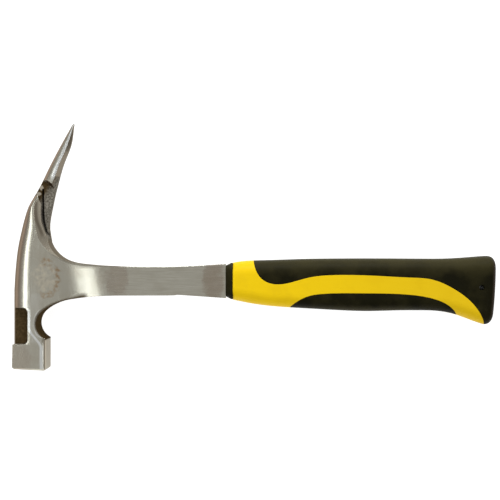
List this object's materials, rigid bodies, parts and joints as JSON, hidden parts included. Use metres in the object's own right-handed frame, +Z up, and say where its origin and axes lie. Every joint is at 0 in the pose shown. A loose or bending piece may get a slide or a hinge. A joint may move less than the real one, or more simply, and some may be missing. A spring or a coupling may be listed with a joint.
{
  "type": "pick hammer",
  "caption": "All-steel pick hammer with a square striking face, a curved pick with a side nail puller, and a two-colour moulded grip.",
  "frame": {"origin": "bottom centre of the bounding box, hammer lying on its far cheek", "axes": "+X along the handle towards the butt, +Y along the head towards the pick's tip, +Z up through the thickness, towards the cheek with the nail puller"},
  "size_m": [0.3236, 0.1656, 0.0256],
  "materials": {
    "steel": "ground and brushed, forged skin left dark in the recesses",
    "hard_plastic": "satin moulded",
    "soft_rubber": "matte moulded"
  },
  "bodies": {
    "root": {"head_and_shank": "steel", "grip_core": "hard_plastic", "grip_back_panel": "soft_rubber", "grip_belly_panel": "soft_rubber", "grip_collar": "soft_rubber"}
  },
  "joints": []
}
